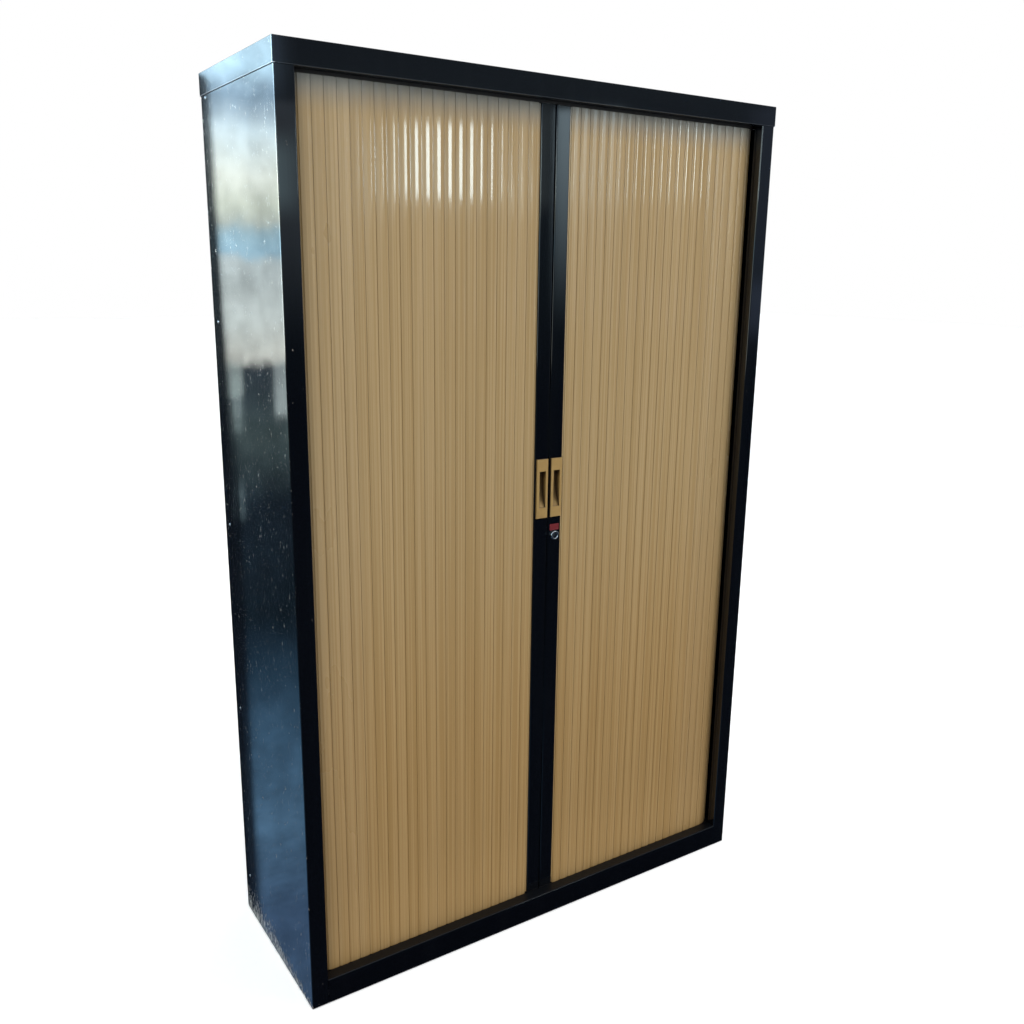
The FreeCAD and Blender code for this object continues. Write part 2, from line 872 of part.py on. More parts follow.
def lock_cam():
    """Hooked cam, drawn at rest: it stands up inside the right stile, with its tooth towards the left one."""
    x, z = stile_middle, lock_height
    section = polygon([
        (x + cam_half_width, z - cam_tail),
        (x + cam_half_width, z + cam_reach - cam_half_width),
        (x, z + cam_reach),
        (x - cam_half_width - cam_tooth_drop, z + cam_reach),
        (x - cam_half_width - cam_tooth_drop, z + cam_reach - cam_tooth_length),
        (x - cam_half_width, z + cam_reach - cam_tooth_length),
        (x - cam_half_width, z - cam_tail),
    ])
    front = cam_back() - cam_thickness
    return along_y(section, front, cam_back()).cut(
        square_on_axis(tang_half + plug_clearance, front - 1, cam_back() + 1)
    )


def six_sided(radius):
    """Corners of a hexagon about the origin."""
    angles = [math.radians(corner_step * i) for i in range(6)]
    return [(radius * math.cos(a), radius * math.sin(a)) for a in angles]


def cam_screw():
    """Hexagonal screw that holds the cam on the tang."""
    corners = [(stile_middle + u, lock_height + v) for u, v in six_sided(cam_screw_radius)]
    return along_y(polygon(corners), cam_back(), cam_back() + cam_screw_thickness)


def hexagon(x, y, radius, bottom, top):
    """An upright six-sided prism."""
    return upright_solid(polygon([(x + u, y + v) for u, v in six_sided(radius)]), bottom, top)


def foot_pad(x, y):
    """Six-sided pad with a bevelled upper edge, moulded round the head of its bolt."""
    pad = hexagon(x, y, foot_pad_radius, 0, foot_pad_height)
    rim = [e for e in pad.Edges if e.BoundBox.ZMin > foot_pad_height - 0.01]
    pad = pad.makeChamfer(foot_pad_bevel, rim)
    return pad.cut(hexagon(x, y, bolt_head_radius, foot_pad_height - bolt_head_height, foot_pad_height + 1))


def foot_bolt(x, y):
    """Upside-down bolt that screws up and down in the bracket."""
    head_bottom = foot_pad_height - bolt_head_height
    head = hexagon(x, y, bolt_head_radius, head_bottom, foot_pad_height)
    return head.fuse(rod(bolt_radius, (x, y, foot_pad_height), (x, y, foot_pad_height + bolt_length)))


def foot_bracket(x, y):
    """Channel under the base pan with a square weld nut for the bolt."""
    bottom = pan_height - bracket_drop
    nut_top = bottom + bracket_sheet + weld_nut_height
    half = bracket_length / 2
    section = polygon([
        (x - half, pan_height),
        (x - half, bottom),
        (x + half, bottom),
        (x + half, pan_height),
        (x + half - bracket_sheet, pan_height),
        (x + half - bracket_sheet, bottom + bracket_sheet),
        (x - half + bracket_sheet, bottom + bracket_sheet),
        (x - half + bracket_sheet, pan_height),
    ])
    channel = along_y(section, y - bracket_width / 2, y + bracket_width / 2)
    nut = block(
        (x - weld_nut_half, y - weld_nut_half, bottom + bracket_sheet),
        (x + weld_nut_half, y + weld_nut_half, nut_top),
    )
    hole = rod(bolt_radius + thread_clearance, (x, y, bottom - 1), (x, y, nut_top + 1))
    return channel.fuse(nut).cut(hole).removeSplitter()


def build_case():
    save("top_cap", top_cap())
    side = left_side()
    save("left_side", side)
    save("right_side", mirrored(side))
    back_half = half_width - bend_radius - seat_gap
    back_front = half_depth - 2 * sheet - seat_gap
    save("outer_back", ribbed_sheet(back_half, back_front, case_bottom, case_top, False))
    save("plinth", plinth())
    save("header_rail", header_rail())
    save("base_pan", pan(pan_height, pan_height - pan_flange, pan_top))
    save("top_pan", pan(top_pan_bottom, top_pan_bottom, top_pan_bottom + sheet + pan_flange))


def build_lining():
    save("floor_tray", inner_tray(pan_top, floor_top, True))
    save("ceiling_tray", inner_tray(ceiling, top_pan_bottom, False))
    liner = left_liner()
    save("left_liner", liner)
    save("right_liner", mirrored(liner))
    inner_half = -liner_x - sheet
    save(
        "inner_back",
        ribbed_sheet(inner_half, liner_back_y + seat_gap, floor_top + seat_gap, ceiling - seat_gap, True),
    )
    for place, y in zip(("front", "back"), upright_ys):
        strip = left_upright(y)
        save(place + "_left_upright", strip)
        save(place + "_right_upright", mirrored(strip))


def build_shelves():
    clips = []
    for number, top in enumerate(shelf_tops, 1):
        save("shelf_%d" % number, shelf(top))
        clips += [left_clip(y, top) for y in upright_ys]
    save("shelf_clips", *clips, *[mirrored(c) for c in clips])


def build_curtains():
    save("bottom_track", track(pan_top, pan_top + bottom_track_height, True))
    save("top_track", track(track_mouth_top, top_pan_bottom, False))
    slats = left_curtain()
    save("left_slats", *slats)
    save("right_slats", *[mirrored(s) for s in slats])
    strip = anchor_strip()
    save("left_anchor_strip", strip)
    save("right_anchor_strip", mirrored(strip))
    glides = glide_pair()
    save("left_stile_glides", *glides)
    save("right_stile_glides", *[mirrored(g) for g in glides])
    save("left_stile", slotted_left_stile())
    save("right_stile", right_stile())
    handle = left_handle()
    save("left_handle", handle)
    save("right_handle", mirrored(handle))


def build_lock():
    save("lock_barrel", lock_barrel())
    save("lock_clip", lock_clip())
    save("lock_plug", lock_plug())
    save("lock_cam", lock_cam())
    save("lock_cam_screw", cam_screw())
    save("lock_keeper", keeper())


def build_feet():
    save("foot_brackets", *[foot_bracket(x, y) for x, y in foot_places.values()])
    for place, (x, y) in foot_places.items():
        save(place + "_foot_pad", foot_pad(x, y))
        save(place + "_foot_bolt", foot_bolt(x, y))


os.makedirs("parts", exist_ok=True)
build_case()
build_lining()
build_shelves()
build_curtains()
build_lock()
build_feet()
print("slat pivots end at", [round(c, 1) for c in curtain_pivots(slat_count)[-1]])
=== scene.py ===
import json
import math

import bpy
import numpy as np
from mathutils import Matrix, Vector


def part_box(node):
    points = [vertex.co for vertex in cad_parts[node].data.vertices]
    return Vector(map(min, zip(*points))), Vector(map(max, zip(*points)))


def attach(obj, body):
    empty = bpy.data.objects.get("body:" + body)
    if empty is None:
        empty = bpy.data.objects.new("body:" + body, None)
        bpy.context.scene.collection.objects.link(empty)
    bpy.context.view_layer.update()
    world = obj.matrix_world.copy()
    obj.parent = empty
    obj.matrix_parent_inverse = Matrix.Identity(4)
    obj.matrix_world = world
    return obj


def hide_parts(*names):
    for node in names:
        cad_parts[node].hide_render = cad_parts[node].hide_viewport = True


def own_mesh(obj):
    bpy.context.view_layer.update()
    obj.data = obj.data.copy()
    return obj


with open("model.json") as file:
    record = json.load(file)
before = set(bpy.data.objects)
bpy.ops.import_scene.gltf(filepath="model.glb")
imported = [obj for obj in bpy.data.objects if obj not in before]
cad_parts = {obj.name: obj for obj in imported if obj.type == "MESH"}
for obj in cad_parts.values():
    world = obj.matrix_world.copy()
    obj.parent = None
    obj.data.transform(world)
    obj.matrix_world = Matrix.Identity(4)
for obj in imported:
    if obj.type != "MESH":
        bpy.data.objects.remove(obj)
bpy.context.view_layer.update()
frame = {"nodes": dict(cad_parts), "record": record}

nodes = frame["nodes"]
randomSeed = 7


# small helpers for node trees

def wire(tree, kind, inputs=None, **attributes):
    node = tree.nodes.new(kind)
    for name, value in attributes.items():
        setattr(node, name, value)
    for name, value in (inputs or {}).items():
        socket = node.inputs[name]
        if isinstance(value, bpy.types.NodeSocket):
            tree.links.new(value, socket)
        else:
            socket.default_value = value
    return node


def maths(tree, operation, first, second=0.0, clamp=False):
    node = wire(tree, "ShaderNodeMath", {0: first, 1: second}, operation=operation)
    node.use_clamp = clamp
    return node.outputs[0]


def times(tree, first, second):
    return maths(tree, "MULTIPLY", first, second)


def plus(tree, first, second, clamp=False):
    return maths(tree, "ADD", first, second, clamp)


def weighed(tree, value, weight, base):
    # the value times its weight, plus the base
    inputs = {0: value, 1: weight, 2: base}
    return wire(tree, "ShaderNodeMath", inputs, operation="MULTIPLY_ADD").outputs[0]


def smoothStep(tree, value, low, high, fromValue=0.0, toValue=1.0):
    # eases from one value to the other as the input goes from low to high
    inputs = {"Value": value, "From Min": low, "From Max": high, "To Min": fromValue, "To Max": toValue}
    return wire(tree, "ShaderNodeMapRange", inputs, interpolation_type="SMOOTHSTEP").outputs[0]


def mixColour(tree, factor, first, second, blend="MIX"):
    node = wire(tree, "ShaderNodeMix", data_type="RGBA", blend_type=blend)
    for socket, value in ((node.inputs[0], factor), (node.inputs[6], first), (node.inputs[7], second)):
        if isinstance(value, bpy.types.NodeSocket):
            tree.links.new(value, socket)
        else:
            socket.default_value = value if isinstance(value, float) else (*value[:3], 1.0)
    return node.outputs[2]


def scaled(tree, colour, factor):
    inputs = {0: colour, "Scale": factor}
    return wire(tree, "ShaderNodeVectorMath", inputs, operation="SCALE").outputs[0]


def separate(tree, vector):
    return wire(tree, "ShaderNodeSeparateXYZ", {0: vector}).outputs


def ramp(tree, value, stops):
    node = wire(tree, "ShaderNodeValToRGB", {"Fac": value})
    elements = node.color_ramp.elements
    while len(elements) < len(stops):
        elements.new(0.5)
    for element, (place, colour) in zip(elements, stops):
        element.position = place
        element.color = (*colour, 1.0)
    return node.outputs[0]


def noise(tree, coords, scale, detail=3.0, stretch=(1.0, 1.0, 1.0), roughness=0.55):
    mapped = wire(tree, "ShaderNodeMapping", {"Vector": coords, "Scale": stretch}).outputs[0]
    inputs = {"Vector": mapped, "Scale": scale, "Detail": detail, "Roughness": roughness}
    return wire(tree, "ShaderNodeTexNoise", inputs).outputs[0]


def bump(tree, height, strength, distance, under=None):
    inputs = {"Height": height, "Strength": strength, "Distance": distance}
    if under is not None:
        inputs["Normal"] = under
    return wire(tree, "ShaderNodeBump", inputs).outputs[0]


def newMaterial(name):
    material = bpy.data.materials.new(name)
    material.use_nodes = True
    tree = material.node_tree
    shader = tree.nodes["Principled BSDF"]
    coords = wire(tree, "ShaderNodeTexCoord").outputs["Object"]
    return material, tree, shader, coords


def join(tree, shader, colour, rough, normal):
    tree.links.new(colour, shader.inputs["Base Color"])
    tree.links.new(rough, shader.inputs["Roughness"])
    tree.links.new(normal, shader.inputs["Normal"])


# gloss enamel of the case

enamelSettings = {
    "colour": (0.0016, 0.0022, 0.0038),
    "roughness": 0.035,
    "roughnessSpread": 0.05,
    "specular": 0.5,
    "coat": 0.25,
    "coatRoughness": 0.02,
    # dust on what faces up above a height, streaks and scratches in the film
    "dust": (0.050, 0.057, 0.066),
    "dustFrom": 1.9,
    "dustClouds": {"scale": 3.5},
    "upwardRange": (0.6, 0.95),
    "upwardShare": 0.55,
    "upwardRoughness": 0.7,
    "streaks": {"scale": 26.0, "detail": 4.0, "stretch": (1.0, 1.0, 0.06)},
    "streakRange": (0.45, 0.75),
    "streakHaze": 0.015,
    "scratches": {"scale": 55.0, "detail": 6.0, "stretch": (1.0, 1.0, 0.012), "roughness": 0.7},
    "scratchRange": (0.70, 0.74),
    "scratchHaze": 0.05,
    # chips near the floor and on the front corners, none beyond the posts
    "chip": (0.17, 0.155, 0.135),
    "grit": {"scale": 75.0, "detail": 6.0, "stretch": (1.0, 1.0, 0.55), "roughness": 0.65},
    "chipRange": (0.71, 0.75),
    "wearGain": 0.15,
    "scuffBottom": 0.004,
    "scuffTop": 0.07,
    "edgeReach": (0.0005, 0.004),
    "cornerWear": 0.55,
    "frontShare": 0.05,
    "postInset": (0.030, 0.035),
    "wornRoughness": 0.35,
    # scrapes along the lower edge of the left side, higher towards the rear
    "scrape": (0.38, 0.355, 0.31),
    "scrapes": {"scale": 260.0, "detail": 5.0, "stretch": (1.0, 1.0, 0.30), "roughness": 0.72},
    "scrapeTop": 0.105,
    "scrapeFrontShare": 0.3,
    "scrapeSpan": (-0.20, 0.08),
    "scrapeShift": (0.105, -0.07),
    "scrapeRange": (0.57, 0.62),
    "sideFrom": 0.9,
    # painted highlight: a pale line along the cap, between two heights above its lower edge
    "paintedCapHighlight": (0.42, 0.47, 0.52),
    "paintedHighlightAbove": (0.0001, 0.0014),
    # flow of the film, brushing, orange peel and worn spots, each with its bump's strength and depth
    "waves": {"scale": 5.0, "detail": 2.0, "stretch": (1.0, 1.0, 0.22)},
    "waveBump": (0.35, 0.0005),
    "brushing": {"scale": 330.0, "stretch": (1.0, 1.0, 0.03), "roughness": 0.65},
    "brushBump": (0.5, 0.000012),
    "peel": {"scale": 420.0, "detail": 2.0},
    "peelBump": (0.25, 0.000014),
    "wornBump": (0.5, 0.0002),
}

plinthSettings = {**enamelSettings, "coat": 0.0, "specular": 0.30}

shelfSettings = {**enamelSettings, "roughness": 0.34, "coat": 0.0, "scuffTop": 0.01, "dustFrom": 0.0}


def dustAmount(tree, coords, z, upward, streaks, s):
    settled = times(tree, upward, maths(tree, "GREATER_THAN", z, s["dustFrom"]))
    dust = times(tree, settled, noise(tree, coords, **s["dustClouds"]))
    hazeAndPaintedShadow = times(tree, smoothStep(tree, streaks, *s["streakRange"]), s["streakHaze"])
    scratches = smoothStep(tree, noise(tree, coords, **s["scratches"]), *s["scratchRange"])
    return plus(tree, plus(tree, dust, hazeAndPaintedShadow), times(tree, scratches, s["scratchHaze"]), clamp=True)


def chipAmount(tree, coords, y, z, besides, onSide, s):
    nearFloor = smoothStep(tree, z, s["scuffBottom"], s["scuffTop"], 1.0, 0.0)
    before = maths(tree, "SUBTRACT", y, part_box("left_side")[0][1])
    squares = plus(tree, times(tree, besides, besides), times(tree, before, before))
    nearCorner = smoothStep(tree, maths(tree, "SQRT", squares), *s["edgeReach"], s["cornerWear"], 0.0)
    wear = maths(tree, "MAXIMUM", times(tree, nearFloor, onSide), nearCorner)
    grit = noise(tree, coords, **s["grit"])
    chips = smoothStep(tree, plus(tree, grit, times(tree, wear, s["wearGain"])), *s["chipRange"])
    return times(tree, chips, smoothStep(tree, besides, *s["postInset"], 1.0, 0.0))


def scrapeAmount(tree, coords, x, y, z, onSide, s):
    top = s["scrapeTop"]
    reach = smoothStep(tree, y, *s["scrapeSpan"], top * s["scrapeFrontShare"], top)
    height = maths(tree, "DIVIDE", z, reach)
    shift = smoothStep(tree, height, 0.0, 1.0, *s["scrapeShift"])
    rubbed = smoothStep(tree, plus(tree, noise(tree, coords, **s["scrapes"]), shift), *s["scrapeRange"])
    sideFace = maths(tree, "GREATER_THAN", onSide, s["sideFrom"])
    return times(tree, rubbed, times(tree, sideFace, maths(tree, "LESS_THAN", x, 0.0)))


def paintedHighlightAmount(tree, z, onSide, s):
    low, high = (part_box("top_cap")[0][2] + above for above in s["paintedHighlightAbove"])
    line = times(tree, maths(tree, "GREATER_THAN", z, low), maths(tree, "LESS_THAN", z, high))
    return times(tree, line, onSide)


def enamelNormals(tree, coords, worn, s):
    # the film's own skin, and the same with worn spots
    flow = bump(tree, noise(tree, coords, **s["waves"]), *s["waveBump"])
    wiped = bump(tree, noise(tree, coords, **s["brushing"]), *s["brushBump"], flow)
    skin = bump(tree, noise(tree, coords, **s["peel"]), *s["peelBump"], wiped)
    return skin, bump(tree, worn, *s["wornBump"], skin)


def gloss(name, s):
    # gloss enamel on sheet steel: streaked film, orange peel, dust, chips, scrapes and a painted highlight
    # along the cap's lower edge
    material, tree, shader, coords = newMaterial(name)
    x, y, z = separate(tree, coords)
    facing = separate(tree, wire(tree, "ShaderNodeNewGeometry").outputs["Normal"])[2]
    upward = smoothStep(tree, facing, *s["upwardRange"], 0.0, s["upwardShare"])
    streaks = noise(tree, coords, **s["streaks"])
    # distance inwards from the outer faces of the sides
    besides = maths(tree, "SUBTRACT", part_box("right_side")[1][0], maths(tree, "ABSOLUTE", x))
    onSide = smoothStep(tree, besides, *s["edgeReach"], 1.0, s["frontShare"])
    dust = dustAmount(tree, coords, z, upward, streaks, s)
    chips = chipAmount(tree, coords, y, z, besides, onSide, s)
    scrapes = scrapeAmount(tree, coords, x, y, z, onSide, s)
    worn = maths(tree, "MAXIMUM", chips, scrapes)
    colour = mixColour(tree, dust, s["colour"], s["dust"])
    colour = mixColour(tree, chips, colour, s["chip"])
    colour = mixColour(tree, scrapes, colour, s["scrape"])
    # painted highlight along the cap's lower edge
    colour = mixColour(tree, paintedHighlightAmount(tree, z, onSide, s), colour, s["paintedCapHighlight"])
    rough = weighed(tree, streaks, s["roughnessSpread"], s["roughness"] - s["roughnessSpread"] / 2)
    rough = plus(tree, rough, times(tree, upward, s["upwardRoughness"]))
    rough = plus(tree, rough, times(tree, worn, s["wornRoughness"]), clamp=True)
    skin, wornSkin = enamelNormals(tree, coords, worn, s)
    join(tree, shader, colour, rough, wornSkin)
    tree.links.new(skin, shader.inputs["Coat Normal"])
    shader.inputs["Coat Weight"].default_value = s["coat"]
    shader.inputs["Coat Roughness"].default_value = s["coatRoughness"]
    shader.inputs["Specular IOR Level"].default_value = s["specular"]
    return material


# extruded plastic of the slats

slatSettings = {
    # two shades each for the upper and the lower end, and painted light that makes the lower end lighter just
    # above the floor
    "top": ((0.398, 0.291, 0.152), (0.339, 0.238, 0.112)),
    "bottom": ((0.372, 0.247, 0.109), (0.317, 0.201, 0.080)),
    "upperRange": (0.4, 1.3),
    "paintedFloorLightGain": 1.14,
    "paintedFloorLightRange": (0.04, 0.30),
    # what mixes the two shades: the slat's own, clouds, draw lines and reeds
    "ownShare": 0.45,
    "clouds": {"scale": 7.0, "detail": 4.0, "stretch": (1.0, 1.0, 0.35)},
    "cloudShare": 0.3,
    "drawLines": {"scale": 900.0, "stretch": (1.0, 1.0, 0.004)},
    "lineShare": 0.2,
    "lineBump": (0.08, 0.00004),
    "reeds": {"scale": 240.0, "detail": 2.0, "stretch": (1.0, 1.0, 0.003)},
    "reedRange": (0.38, 0.62),
    "reedShift": (-0.5, 0.65),
    # painted shadow of the cap, a grey tone over the top of the slats
    "hazeAndPaintedShadow": (0.170, 0.185, 0.175),
    "capShadowRange": (1.860, 1.935),
    "capShadowAmount": 0.9,
    # brown marks
    "mark": (0.160, 0.085, 0.035),
    "spots": {"scale": 16.0, "detail": 8.0, "stretch": (1.0, 1.0, 0.5), "roughness": 0.72},
    "markRange": (0.735, 0.76),
    "markAmount": 0.75,
    "markRoughness": 0.2,
    "roughness": 0.06,
    "roughnessSpread": 0.06,
    # the slats next to the posts have rubbed themselves dull on the corner tracks
    "dullRange": (0.42, 0.50),
    "dull": 0.22,
    "waves": {"scale": 30.0, "detail": 2.0, "stretch": (1.0, 1.0, 0.12)},
    "waveBump": (0.08, 0.0003),
}


def slatPlastic(name, s):
    material, tree, shader, coords = newMaterial(name)
    x, _, z = separate(tree, coords)
    own = wire(tree, "ShaderNodeAttribute", attribute_name="slatShade").outputs["Fac"]
    clouds = noise(tree, coords, **s["clouds"])
    drawLines = noise(tree, coords, **s["drawLines"])
    reeds = smoothStep(tree, noise(tree, coords, **s["reeds"]), *s["reedRange"], *s["reedShift"])
    mixed = plus(tree, times(tree, own, s["ownShare"]), times(tree, clouds, s["cloudShare"]))
    mixed = plus(tree, mixed, times(tree, drawLines, s["lineShare"]))
    mixed = plus(tree, mixed, reeds, clamp=True)
    upper = mixColour(tree, mixed, *s["top"])
    lower = mixColour(tree, mixed, *s["bottom"])
    # painted light on the slats just above the floor
    lower = scaled(tree, lower, smoothStep(tree, z, *s["paintedFloorLightRange"], s["paintedFloorLightGain"], 1.0))
    colour = mixColour(tree, smoothStep(tree, z, *s["upperRange"]), lower, upper)
    # painted shadow under the cap, which darkens the slats' top towards grey
    hazeAndPaintedShadow = smoothStep(tree, z, *s["capShadowRange"], 0.0, s["capShadowAmount"])
    colour = mixColour(tree, hazeAndPaintedShadow, colour, s["hazeAndPaintedShadow"])
    marks = smoothStep(tree, noise(tree, coords, **s["spots"]), *s["markRange"], 0.0, s["markAmount"])
    colour = mixColour(tree, marks, colour, s["mark"])
    dull = smoothStep(tree, maths(tree, "ABSOLUTE", x), *s["dullRange"], 0.0, s["dull"])
    rough = weighed(tree, clouds, s["roughnessSpread"], s["roughness"] - s["roughnessSpread"] / 2)
    rough = plus(tree, rough, times(tree, marks, s["markRoughness"]))
    fine = bump(tree, drawLines, *s["lineBump"])
    soft = bump(tree, noise(tree, coords, **s["waves"]), *s["waveBump"], fine)
    join(tree, shader, colour, plus(tree, rough, dull), soft)
    return material


# moulded plastic of pulls, tracks and feet

mouldedSettings = {
    "clouds": {"scale": 40.0, "detail": 4.0},
    "cloudShare": 0.6,
    "roughnessSpread": 0.2,
    "spark": {"scale": 1400.0, "detail": 2.0},
    "sparkBump": (0.35, 0.00006),
    "grease": {"scale": 90.0, "detail": 5.0, "stretch": (1.0, 1.0, 0.6)},
    "greaseRange": (0.52, 0.70),
    "greaseAmount": 0.35,
    "paintedShade": None,
}

pullSettings = {
    **mouldedSettings,
    "colour": (0.37, 0.24, 0.082),
    "shade": (0.25, 0.150, 0.046),
    "roughness": 0.38,
    # painted shade that darkens the recesses
    "paintedShade": (0.030, 0.014, 0.004),
    "paintedShadeReach": 0.020,
    "paintedShadeSamples": 8,
    "paintedShadeRange": (0.40, 0.86),
}

trackSettings = {
    **mouldedSettings,
    "colour": (0.012, 0.012, 0.013),
    "shade": (0.030, 0.029, 0.028),
    "roughness": 0.5,
}

footSettings = {
    **mouldedSettings,
    "colour": (0.014, 0.014, 0.014),
    "shade": (0.04, 0.038, 0.035),
    "roughness": 0.6,
    "spark": {"scale": 900.0, "detail": 2.0},
}


# paints shade into recesses: the colour darkens where ambient occlusion finds them closed in
def paintedRecessShade(tree, colour, s):
    reach = {"Distance": s["paintedShadeReach"]}
    node = wire(tree, "ShaderNodeAmbientOcclusion", reach, samples=s["paintedShadeSamples"])
    closed = smoothStep(tree, node.outputs["AO"], *s["paintedShadeRange"], 1.0, 0.0)
    return mixColour(tree, closed, colour, s["paintedShade"])


def mouldedPlastic(name, s):
    # a fine spark texture, and darker, greasy patches where hands rub it
    material, tree, shader, coords = newMaterial(name)
    clouds = noise(tree, coords, **s["clouds"])
    greasy = smoothStep(tree, noise(tree, coords, **s["grease"]), *s["greaseRange"], 0.0, s["greaseAmount"])
    factor = plus(tree, times(tree, clouds, s["cloudShare"]), greasy, clamp=True)
    colour = mixColour(tree, factor, s["colour"], s["shade"])
    # painted shade in recesses, on the pulls alone
    if s["paintedShade"] is not None:
        colour = paintedRecessShade(tree, colour, s)
    rough = weighed(tree, clouds, s["roughnessSpread"], s["roughness"] - s["roughnessSpread"] / 2)
    join(tree, shader, colour, rough, bump(tree, noise(tree, coords, **s["spark"]), *s["sparkBump"]))
    return material


# plated metal of the lock, the screws and the fittings

platedSettings = {
    "clouds": {"scale": 120.0, "detail": 4.0},
    "cloudShare": 0.5,
    "brushing": {"scale": 900.0},
    "brushBump": (0.15, 0.00004),
    "brushRoughness": 0.18,
    "roughnessOffset": 0.06,
    "dullSpots": {"scale": 260.0, "detail": 5.0},
    "dullRange": (0.58, 0.72),
    "dullShare": 0.4,
    "dullRoughness": 0.2,
}

zincSettings = {
    **platedSettings,
    "colour": (0.62, 0.63, 0.64),
    "shade": (0.42, 0.41, 0.38),
    "roughness": 0.34,
}

darkZincSettings = {
    **platedSettings,
    "colour": (0.10, 0.105, 0.115),
    "shade": (0.05, 0.05, 0.055),
    "roughness": 0.30,
}

chromeSettings = {
    **platedSettings,
    "colour": (0.66, 0.67, 0.68),
    "shade": (0.40, 0.40, 0.40),
    "roughness": 0.12,
}


def platedMetal(name, s):
    # plated steel or die-cast zinc: cloudy film, fine brushing and a few dull spots
    material, tree, shader, coords = newMaterial(name)
    clouds = noise(tree, coords, **s["clouds"])
    brushing = noise(tree, coords, **s["brushing"])
    dull = smoothStep(tree, noise(tree, coords, **s["dullSpots"]), *s["dullRange"])
    factor = plus(tree, times(tree, clouds, s["cloudShare"]), times(tree, dull, s["dullShare"]), clamp=True)
    colour = mixColour(tree, factor, s["colour"], s["shade"])
    rough = weighed(tree, brushing, s["brushRoughness"], s["roughness"] - s["roughnessOffset"])
    rough = plus(tree, rough, times(tree, dull, s["dullRoughness"]), clamp=True)
    join(tree, shader, colour, rough, bump(tree, brushing, *s["brushBump"]))
    shader.inputs["Metallic"].default_value = 1.0
    return material


finishes = {
    "case_paint": gloss("gloss_enamel", enamelSettings),
    "plinth_paint": gloss("plinth_enamel", plinthSettings),
    "shelf_paint": gloss("satin_enamel", shelfSettings),
    "slat_plastic": slatPlastic("slat_plastic", slatSettings),
    "handle_plastic": mouldedPlastic("pull_plastic", pullSettings),
    "black_nylon": mouldedPlastic("track_nylon", trackSettings),
    "foot_plastic": mouldedPlastic("foot_plastic", footSettings),
    "zinc": platedMetal("zinc_plate", zincSettings),
    "dark_zinc": platedMetal("dark_zinc", darkZincSettings),
    "chrome": platedMetal("chrome_plate", chromeSettings),
}


def dressFrame():
    for part in frame["record"]["subparts"]:
        mesh = nodes[part["node"]].data
        mesh.materials.clear()
        mesh.materials.append(finishes[part["material_slot"]])
    # the plinth is worn matt by feet
    nodes["plinth"].data.materials[0] = finishes["plinth_paint"]


dressFrame()
print("finishes on", len(nodes), "nodes")


# meshes made from rings of points

def meshFrom(name, points, faces, material, sharp=math.radians(30)):
    mesh = bpy.data.meshes.new(name)
    mesh.from_pydata(points, [], faces)
    mesh.validate()
    mesh.shade_smooth()
    mesh.set_sharp_from_angle(angle=sharp)
    piece = bpy.data.objects.new(name, mesh)
    bpy.context.scene.collection.objects.link(piece)
    mesh.materials.append(material)
    return piece


def arcPoints(centre, radius, first, last, count):
    angles = np.radians(np.linspace(first, last, count))
    return np.stack([centre[0] + radius * np.cos(angles), centre[1] + radius * np.sin(angles)], axis=1)


def band(low, high, count):
    # faces between two rings of as many points, which start at the points numbered low and high
    ring = np.arange(count)
    after = (ring + 1) % count
    return np.stack([low + ring, low + after, high + after, high + ring], axis=1).tolist()


def flipped(faces):
    return [face[::-1] for face in faces]


# slatted curtains

curtainSettings = {
    "slats": 22,
    "pitch": 0.02515,
    "crown": 0.005,
    "skin": 0.0011,
    "grooveBefore": 0.0007,
    "grooveAfter": 0.0006,
    # slopes of the face in degrees, at shares of the way from its middle to its edges
    "profileAt": (0.0, 0.33, 0.40, 0.52, 0.60, 1.0),
    "profileSlope": (0.0, 0.4, 5.6, 7.2, 9.0, 9.5),
    "profilePoints": 49,
    # rounding of the face's edges, and how far in, up and down its points lie as shares of it
    "edgeRound": 0.00045,
    "edgeIn": 0.25,
    "edgeUp": 0.1,
    "edgeDown": 0.6,
    # bead at one edge and hooked socket at the other, with angles in degrees and numbers of points
    "bead": 0.0015,
    "beadArc": (-30, -330, 11),
    "hollow": 0.0018,
    "hollowArc": (40, 300, 12),
    "hook": 0.0028,
    "hookArc": (300, 180, 6),
    "lipAngle": 30,
    "lipRise": 0.0016,
    "web": 0.004,
    # the curtain's way along the front and round the corner
    "stileGap": 0.0047,
    "cornerRadius": 0.045,
    "trackOverhang": 0.0073,
    "endGap": 0.0005,
    "searchSpan": (0.9, 1.3),
    "searchSteps": 4001,
    # largest tilt of a slat's face in degrees, and the depth that tilts with it, in skins
    "tilt": 0.15,
    "tiltDepth": 1.5,
    "keep": 0.04,
}


def crownDrop(s, half):
    # how far the slat's face falls back from its flat middle band to its edges, from the slope at each place
    along = np.linspace(-1.0, 1.0, s["profilePoints"])
    slope = np.interp(np.abs(along), s["profileAt"], s["profileSlope"])
    rise = np.tan(np.radians((slope[1:] + slope[:-1]) / 2)) * np.sign(along[1:] + along[:-1])
    drop = np.concatenate([[0.0], np.cumsum(rise * half * np.diff(along))])
    return along, drop - drop.min()


